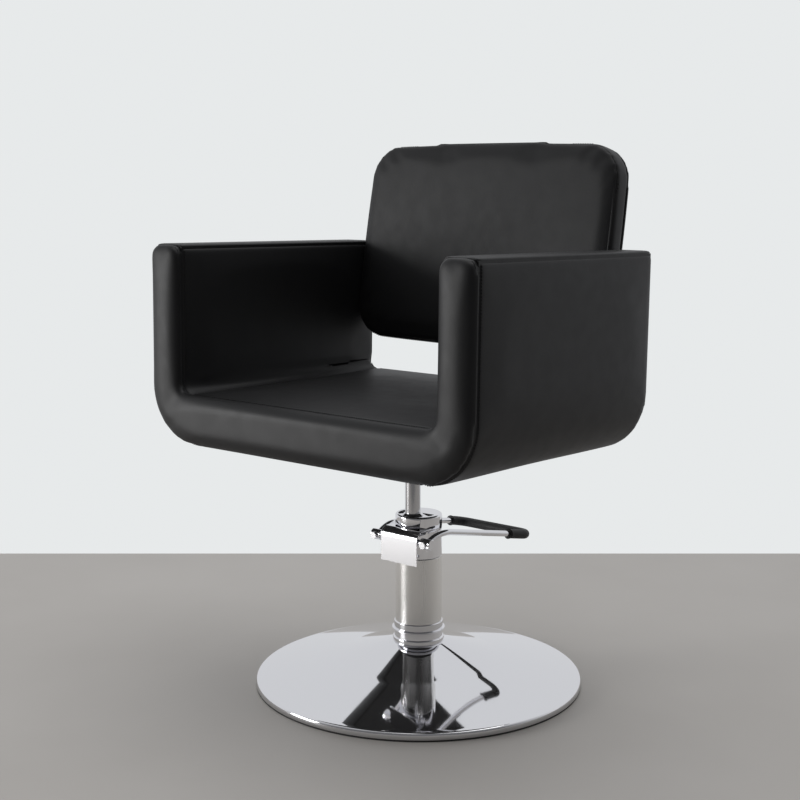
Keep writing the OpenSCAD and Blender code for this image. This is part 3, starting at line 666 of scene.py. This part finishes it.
def back_allowance():
    """The turned-in leather behind the back's two seams."""
    piece = as_object("back_seam_allowance", deepened(outlined(back_corners(1 * MM), 14),
                                                      BACK_SEAM_Y - 4 * MM, BACK_REAR_Y + 4 * MM),
                      LEATHER, smooth=False)
    piece.data.transform(BACK)
    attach(piece, "seat")


back_allowance()
BACK_FRONT = back_front()
BOXING = back_boxing()
BACK_REAR = back_rear()


# ---- top stitching, sewn through the finished covers, and the painted shade in the seams ----

def spaced(path, pitch):
    """Evenly spaced (point, direction) pairs along a path."""
    left = pitch / 2
    for start, end in zip(path, path[1:]):
        run = (end - start).length
        while left < run:
            yield start.lerp(end, left / run), (end - start).normalized()
            left += pitch
        left -= run


def sewn(name, path, matrix, cover, pitch=4.4 * MM, length=3.2 * MM, thick=0.75 * MM):
    """A row of short thread loops laid on the cover nearest the path."""
    tree = BVHTree.FromPolygons([v.co for v in cover.data.vertices],
                                [p.vertices[:] for p in cover.data.polygons])
    bm = bmesh.new()
    for point, direction in spaced([matrix @ p for p in path], pitch):
        spot, up, _, _ = tree.find_nearest(point)
        along = (direction - up * direction.dot(up)).normalized()
        across = up.cross(along)
        turn = Matrix((along, across, up)).transposed().to_4x4()
        turn.translation = spot + up * thick * 0.7
        made = bmesh.ops.create_icosphere(bm, subdivisions=1, radius=1)
        bmesh.ops.scale(bm, vec=(length / 2, thick, thick), verts=made["verts"])
        bmesh.ops.transform(bm, matrix=turn, verts=made["verts"])
    row = as_object(name, bm, THREAD_AND_SEAM_SHADE)
    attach(row, "seat")
    return row


def outer_run(side, y):
    """Down the outer face of an arm and round its lower corner."""
    steps = 16
    points = [Vector((side * TUB_HALF, y, TOP_Z - 3 * MM)), Vector((side * TUB_HALF, y, CORNER_R))]
    for step in range(1, steps + 1):
        turn = math.pi / 2 * step / steps
        points.append(Vector((side * (BOARD_HALF + CORNER_R * math.cos(turn)), y,
                              CORNER_R - CORNER_R * math.sin(turn))))
    return points


def back_run(y):
    """Once round the back, at depth y."""
    steps = 10
    half, points = BACK_W / 2, []
    centres = [(half - BACK_R, BACK_H - BACK_R, 0), (BACK_R - half, BACK_H - BACK_R, 1),
               (BACK_R - half, BACK_R, 2), (half - BACK_R, BACK_R, 3)]
    for x, z, quarter in centres:
        for step in range(steps + 1):
            turn = math.pi / 2 * (quarter + step / steps)
            points.append(Vector((x + BACK_R * math.cos(turn), y, z + BACK_R * math.sin(turn))))
    return points + points[:1]


def covers_tree(covers):
    """One search tree over several finished covers."""
    points, faces = [], []
    for cover in covers:
        first = len(points)
        points += [v.co.copy() for v in cover.data.vertices]
        faces += [[first + v for v in p.vertices] for p in cover.data.polygons]
    return BVHTree.FromPolygons(points, faces)


def seam(name, path, inward, matrix, covers, closed=False, thick=1.0 * MM):
    """Painted shade: a dark cord that stands in for the shadow in a seam's crease, laid along the crease
    that rays from outside find.
    """
    tree, reach, found = covers_tree(covers), 14 * MM, []
    turn = matrix.to_3x3()
    for point, inside in zip(path, inward):
        spot = tree.ray_cast(matrix @ (point - inside * reach), turn @ inside, 2.2 * reach)[0]
        if spot is not None:
            found.append(spot - (turn @ inside) * thick * 0.4)
    if closed:
        found.append(found[0])
    line = as_object(name, tube_along(name, found, thick, sides=2), THREAD_AND_SEAM_SHADE)
    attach(line, "seat")


def loop_of(corners, y, arc=10):
    """A flat outline's points at depth y, about 6 mm apart, with their inward directions."""
    bm = outlined(corners, arc)
    ring = [v.co.copy() for v in bm.faces[:][0].verts]
    bm.free()
    path = [p for p, _ in spaced(ring + ring[:1], 6 * MM)]
    area = sum(a.x * b.z - b.x * a.z for a, b in zip(ring, ring[1:] + ring[:1]))
    hand = 1 if area > 0 else -1
    inward = []
    for before, after in zip(path[-1:] + path[:-1], path[1:] + path[:1]):
        run = (after - before).normalized()
        inward.append(Vector((-run.z, 0, run.x)) * hand)
    return [Vector((p.x, y, p.z)) for p in path], inward


TUB_COVERS = [BAND, REAR, SEAT] + SIDES + TOPS + INNERS
# Seam lines: dark cords of painted shade in the creases between the tub's covers.
seam("front_seam_shade", *loop_of(u_outline(0, 20 * MM), BAND_Y), TUB, TUB_COVERS, closed=True)
seam("rear_seam_shade", *loop_of(u_outline(), REAR_Y), TUB, TUB_COVERS, closed=True)
for number, side in enumerate((1, -1)):
    for where, x, way in (("outer", TUB_HALF, -side), ("inner", INNER_HALF, side)):
        line = [Vector((side * x, BAND_Y + (REAR_Y - BAND_Y) * s / 60, TOP_Z)) for s in range(1, 60)]
        seam(f"arm_top_seam_shade_{where}_{number}", line, [Vector((way, 0, 0))] * len(line), TUB, TUB_COVERS)
# The back's seam lines: dark cords of painted shade in its two creases.
seam("back_front_seam", *loop_of(back_corners(0), BACK_SEAM_Y, 14), BACK, [BACK_FRONT, BOXING], closed=True)
seam("back_rear_seam", *loop_of(back_corners(0), BACK_REAR_Y, 14), BACK, [BOXING, BACK_REAR], closed=True)

STITCH_IN = 5 * MM          # the top stitching runs this far from its seam
for number, side in enumerate((1, -1)):
    hand = ("left", "right")[number]
    sewn(f"outer_stitching_{hand}", outer_run(side, BAND_Y + STITCH_IN), TUB, SIDES[number])
    sewn(f"inner_stitching_{hand}",
         [Vector((side * INNER_HALF, BAND_Y + STITCH_IN, TOP_Z - 3 * MM)),
          Vector((side * INNER_HALF, BAND_Y + STITCH_IN, SEAT_H + INNER_R))], TUB, INNERS[number])
sewn("seat_stitching", [Vector((INNER_R - INNER_HALF, BAND_Y + 3 * MM, SEAT_H)),
                        Vector((INNER_HALF - INNER_R, BAND_Y + 3 * MM, SEAT_H))], TUB, SEAT)
sewn("back_stitching", back_run(BACK_SEAM_Y + STITCH_IN), BACK, BOXING)


# ---- base and column ----

def dome_outline():
    """The base cover's section, from the outer rim up to the collar and back underneath."""
    edge, neck = 5 * MM, COLUMN_R + 4 * MM
    bend_r, bend_z = DOME_BEND
    rim_r = BASE_R - edge
    steps, share = 24, 0.92
    rim = [(BASE_R, 3 * MM, 0)]
    for step in range(9):
        turn = math.radians(84) * step / 8
        rim.append((rim_r + edge * math.cos(turn), RIM_H - edge + edge * math.sin(turn), 0))
    flat = []
    for t in (0.01, 0.04, 0.12, 0.3, 0.5, 0.7, 0.86, 0.95, 0.985):
        flat.append((rim_r - (rim_r - bend_r) * t, RIM_H + (bend_z - RIM_H) * t, 0))
    cone = []
    for step in range(1, steps + 1):
        t = step / steps
        rise = share * t + (1 - share) * t ** 3
        cone.append((bend_r - (bend_r - neck) * t, bend_z + (DOME_TOP - bend_z) * rise, 0))
    top = rim + flat + cone + [(COLUMN_R + 1 * MM, DOME_TOP, 0)]
    under = [(r, z - DOME_WALL, 0) for r, z, _ in reversed(flat[::3] + cone[::3])]
    return (top + [(COLUMN_R + 1 * MM, DOME_TOP - DOME_WALL, 0)] + under
            + [(rim_r - 1 * MM, RIM_H - DOME_WALL, 0),
               (BASE_R - DOME_WALL, RIM_H - 7 * MM, 0), (BASE_R - DOME_WALL, 3 * MM, 0)])


def collar_outline():
    """The lower collar: a neck over a rolled bead."""
    bead = 4 * MM
    top = DOME_TOP + COLLAR_H
    return [(COLUMN_R, DOME_TOP, 0), (COLUMN_R + bead, DOME_TOP, 1 * MM),
            (COLUMN_R + bead, DOME_TOP + 2 * bead, 2.4 * MM),
            (COLUMN_R + 1.5 * MM, DOME_TOP + 2 * bead, 0.3 * MM),
            (COLUMN_R + 1.5 * MM, top, 0.4 * MM), (COLUMN_R, top, 0)]


def ring_outline():
    """The upper collar ring over its thin brim."""
    low = DOME_TOP + COLLAR_H
    brim = low + 2.5 * MM
    return [(COLUMN_R, low, 0), (COLUMN_R + 5.5 * MM, low, 0.9 * MM),
            (COLUMN_R + 5.5 * MM, brim, 0.9 * MM), (COLUMN_R + 2 * MM, brim, 0.6 * MM),
            (COLUMN_R + 2 * MM, low + RING_H, 1.5 * MM), (COLUMN_R, low + RING_H, 0)]


def tube_outline():
    bore = COLUMN_R - 3 * MM
    return [(bore, 8 * MM, 0), (COLUMN_R, 8 * MM, 0),
            (COLUMN_R, COLUMN_TOP, 0.8 * MM), (bore, COLUMN_TOP, 0.3 * MM)]


hard("base_cover", spun(dome_outline(), 256), "chrome", "base", "base_dome", turned=True)
hard("collar", spun(collar_outline()), "chrome", "base", "lower_collar")
hard("collar_brim", spun(ring_outline()), "chrome", "base", "collar_ring")
hard("column", spun(tube_outline()), "satin_steel", "base", "column_tube")


# ---- pump head ----

COVER_HALF = 37.5 * MM
COVER_Y, COVER_T = 51 * MM, 1.6 * MM
COVER_BOTTOM, COVER_TOP = 209 * MM, 264 * MM
COVER_BEND = 14 * MM
WINDOW_HALF, WINDOW_LOW, WINDOW_HIGH = 25 * MM, 236 * MM, 256.5 * MM


def cut_by(piece, bm, name):
    """Takes another closed shape out of the piece."""
    cutter = as_object(name, bm, LEATHER)
    trim = piece.modifiers.new("trim", "BOOLEAN")
    trim.operation = "DIFFERENCE"
    trim.solver = "EXACT"
    trim.object = cutter
    applied(piece)
    bpy.data.objects.remove(cutter)


def bracket_sheet():
    """The bent chromed sheet in front of the pump: a flat face that curls back to the head."""
    steps, end_y = 12, -12 * MM
    outer, inner = [], []
    for radius, points in ((COVER_BEND, outer), (COVER_BEND - COVER_T, inner)):
        for step in range(steps + 1):
            turn = math.pi / 2 * step / steps
            points.append((-COVER_Y + COVER_BEND - radius * math.cos(turn),
                           COVER_TOP - COVER_BEND + radius * math.sin(turn)))
    outline = ([(-COVER_Y, COVER_BOTTOM), (-COVER_Y, COVER_TOP - COVER_BEND - 2 * MM)] + outer
               + [(end_y, COVER_TOP), (end_y, COVER_TOP - COVER_T)] + inner[::-1]
               + [(-COVER_Y + COVER_T, COVER_BOTTOM)])
    bm = bmesh.new()
    face = bm.faces.new([bm.verts.new((-COVER_HALF, y, z)) for y, z in outline])
    made = bmesh.ops.extrude_face_region(bm, geom=[face])
    moved = [item for item in made["geom"] if isinstance(item, bmesh.types.BMVert)]
    bmesh.ops.translate(bm, verts=moved, vec=(2 * COVER_HALF, 0, 0))
    ends = [e for e in bm.edges if abs(abs(e.verts[0].co.x) - COVER_HALF) < 1e-6
            and abs(e.verts[0].co.x - e.verts[1].co.x) < 1e-6]
    bmesh.ops.bevel(bm, geom=ends, offset=0.5 * MM, offset_type="OFFSET", segments=2,
                    profile=0.5, affect="EDGES", material=-1)
    piece = hard("bracket_sheet", bm, "chrome", "pump_head", "bracket_cover")
    tube = bmesh.new()
    bmesh.ops.create_cone(tube, cap_ends=True, segments=160, radius1=COLUMN_R, radius2=COLUMN_R,
                          depth=0.2, matrix=Matrix.Translation((0, 0, 0.25)))
    cut_by(piece, tube, "sheet_cutter")


def pump_cap():
    """The chromed cap over the pump's head, with the window for the rocker at its front."""
    wall, edge, hole = 3 * MM, 3 * MM, 15.5 * MM
    corners = [(COLUMN_R, HEAD_Z, 0.6 * MM), (COLUMN_R, HEAD_TOP, edge), (2 * MM, HEAD_TOP, 0),
               (2 * MM, HEAD_TOP - wall, 0), (COLUMN_R - wall, HEAD_TOP - wall, 0),
               (COLUMN_R - wall, HEAD_Z, 0.3 * MM)]
    piece = hard("pump_cap", spun(corners, 160, 5), "chrome", "pump_head", "head_cover")
    bore = bmesh.new()
    bmesh.ops.create_cone(bore, cap_ends=True, segments=96, radius1=hole, radius2=hole, depth=0.03,
                          matrix=Matrix.Translation((0, RAM_Y, HEAD_TOP)))
    cut_by(piece, bore, "bore_cutter")
    window = bmesh.new()
    bmesh.ops.create_cube(window, size=1)
    bmesh.ops.scale(window, vec=(2 * WINDOW_HALF, 0.1, WINDOW_HIGH - WINDOW_LOW), verts=window.verts[:])
    bmesh.ops.translate(window, vec=(0, -0.058, (WINDOW_HIGH + WINDOW_LOW) / 2), verts=window.verts[:])
    cut_by(piece, window, "window_cutter")


bracket_sheet()
pump_cap()


# ---- pedal ----

def leg(y):
    """A point on the pedal's left leg at distance y behind the bend."""
    corner_y = PEDAL_REACH - PEDAL_CORNER
    x = BEND_X + (PEDAL_HALF - BEND_X) * min(y, corner_y) / corner_y
    return Vector((x, y, BEND_Z - PEDAL_DROP * y / PEDAL_REACH))


def corner(steps=12):
    """The rounded corner from the left leg to the crossbar."""
    middle = Vector((PEDAL_HALF - PEDAL_CORNER, PEDAL_REACH - PEDAL_CORNER, 0))
    points = []
    for step in range(steps + 1):
        turn = math.pi / 2 * step / steps
        y = middle.y + PEDAL_CORNER * math.sin(turn)
        points.append(Vector((middle.x + PEDAL_CORNER * math.cos(turn), y, leg(y).z)))
    return points


def mirrored(points):
    return [Vector((-p.x, p.y, p.z)) for p in reversed(points)]


def hub_bend():
    """The rod's rise out of the hub, as a smooth quarter turn."""
    start, end = Vector((HUB_X, SHAFT_Y, SHAFT_Z)), leg(12 * MM)
    pull = Vector((HUB_X + 1.5 * MM, -18 * MM, BEND_Z + 2.5 * MM))
    steps = 12
    return [start.lerp(pull, s / steps).lerp(pull.lerp(end, s / steps), s / steps)
            for s in range(steps + 1)]


def disc(bm, radius, depth, where, turn, soft, sides=48):
    """Adds a short round bar with softened rims, its axis turned from Z."""
    made = bmesh.ops.create_cone(bm, cap_ends=True, segments=sides, radius1=radius, radius2=radius,
                                 depth=depth, matrix=Matrix.Translation(where) @ turn)
    caps = [f for f in {f for v in made["verts"] for f in v.link_faces} if len(f.verts) == sides]
    rims = list({e for f in caps for e in f.edges})
    bmesh.ops.bevel(bm, geom=rims, offset=soft, offset_type="OFFSET", segments=3,
                    profile=0.5, affect="EDGES", material=-1)


ALONG_X = Matrix.Rotation(math.pi / 2, 4, "Y")


def pedal_rod():
    """The bent rod from hub to hub, and the two hubs on the rocker shaft."""
    left = hub_bend() + corner()
    bm = tube_along("pedal_rod", left + mirrored(left), ROD_R)
    for side in (-1, 1):
        disc(bm, PEDAL_HUB_R, PEDAL_HUB_LEN, (side * HUB_X, SHAFT_Y, SHAFT_Z), ALONG_X, 1 * MM)
    return hard("pedal_rod", bm, "chrome", "pedal", "pedal_loop")


def pedal_grip():
    """The rubber sleeve, with a lip at each end."""
    left_y, right_y = PEDAL_REACH - 58 * MM, PEDAL_REACH - 26 * MM
    steps = 8
    left = [leg(left_y).lerp(corner()[0], s / steps) for s in range(steps)]
    right = [leg(right_y).lerp(corner()[0], s / steps) for s in range(steps)]
    points = left + corner() + mirrored(right + corner())
    flares = [1.0] * len(points)
    flares[0] = flares[-1] = 1.12
    return hard("pedal_grip", tube_along("pedal_grip", points, SLEEVE_R, flares),
                "rubber", "pedal", "pedal_sleeve")


pedal_rod()
pedal_grip()


# ---- stage, light and camera ----

def floor():
    """A plain pale floor that ends at the foot of the wall behind the chair."""
    back_edge, front_edge, half = 0.79, -1.3, 4
    view = Matrix.Rotation(math.radians(39.945), 4, "Z")
    bm = bmesh.new()
    bm.faces.new([bm.verts.new(view @ Vector((x, y, 0))) for x, y in
                  ((-half, front_edge), (half, front_edge), (half, back_edge), (-half, back_edge))])
    made, tree, principled = shader("pale_floor", (0.5, 0.475, 0.445), 0.5)
    tree.links.new(tint(tree, noise(tree, place(tree), 1.5), (0.47, 0.445, 0.415), (0.52, 0.495, 0.465)),
                   principled.inputs["Base Color"])
    piece = as_object("floor", bm, made)


TO_VIEWER = (0.63, -0.775, 0)


def softbox(name, where, look_at, size, power):
    data = bpy.data.lights.new(name, "AREA")
    data.shape = "RECTANGLE"
    data.size, data.size_y = size
    data.energy = power
    lamp = bpy.data.objects.new(name, data)
    lamp.location = where
    lamp.rotation_euler = (Vector(look_at) - Vector(where)).to_track_quat("-Z", "Y").to_euler()
    lamp.visible_camera = False
    bpy.context.scene.collection.objects.link(lamp)


def studio():
    """A pale room: bright behind the chair and overhead, dimmer on the viewer's side."""
    world = bpy.data.worlds.new("studio")
    bpy.context.scene.world = world
    world.use_nodes = True
    tree = world.node_tree
    coords = tree.nodes.new("ShaderNodeTexCoord")
    facing = tree.nodes.new("ShaderNodeVectorMath")
    facing.operation = "DOT_PRODUCT"
    facing.inputs[1].default_value = TO_VIEWER
    tree.links.new(coords.outputs["Generated"], facing.inputs[0])
    shift = tree.nodes.new("ShaderNodeMapRange")
    shift.inputs["From Min"].default_value = -1
    tree.links.new(facing.outputs["Value"], shift.inputs["Value"])
    room = tree.nodes.new("ShaderNodeValToRGB")
    room.color_ramp.elements[0].color = (0.67, 0.68, 0.70, 1)
    room.color_ramp.elements[0].position = 0.35
    room.color_ramp.elements[1].color = (0.14, 0.14, 0.145, 1)
    room.color_ramp.elements[1].position = 0.75
    tree.links.new(shift.outputs["Result"], room.inputs["Fac"])
    seen = tree.nodes.new("ShaderNodeLightPath")
    pick = tree.nodes.new("ShaderNodeMix")
    pick.data_type = "RGBA"
    tree.links.new(seen.outputs["Is Camera Ray"], pick.inputs["Factor"])
    colours = [socket for socket in pick.inputs if socket.type == "RGBA"]
    tree.links.new(room.outputs["Color"], colours[0])
    colours[1].default_value = (0.80, 0.82, 0.825, 1)
    result = [socket for socket in pick.outputs if socket.type == "RGBA"][0]
    tree.links.new(result, tree.nodes["Background"].inputs["Color"])
    softbox("key", (-2.4, -2.7, 0.75), (0, 0, 0.5), (1.4, 1.4), 58)
    softbox("overhead", (0.2, 0.4, 3.2), (0, 0, 0.3), (2.6, 2.6), 28)


def camera():
    data = bpy.data.cameras.new("camera")
    data.lens = 63.43
    data.sensor_width = 36
    made = bpy.data.objects.new("camera", data)
    made.location = (1.4144, -1.7363, 0.8214)
    made.rotation_euler = (math.radians(81.044), 0, math.radians(39.945))
    bpy.context.scene.collection.objects.link(made)
    bpy.context.scene.camera = made


floor()
studio()
camera()
bpy.context.scene.view_settings.view_transform = "Standard"
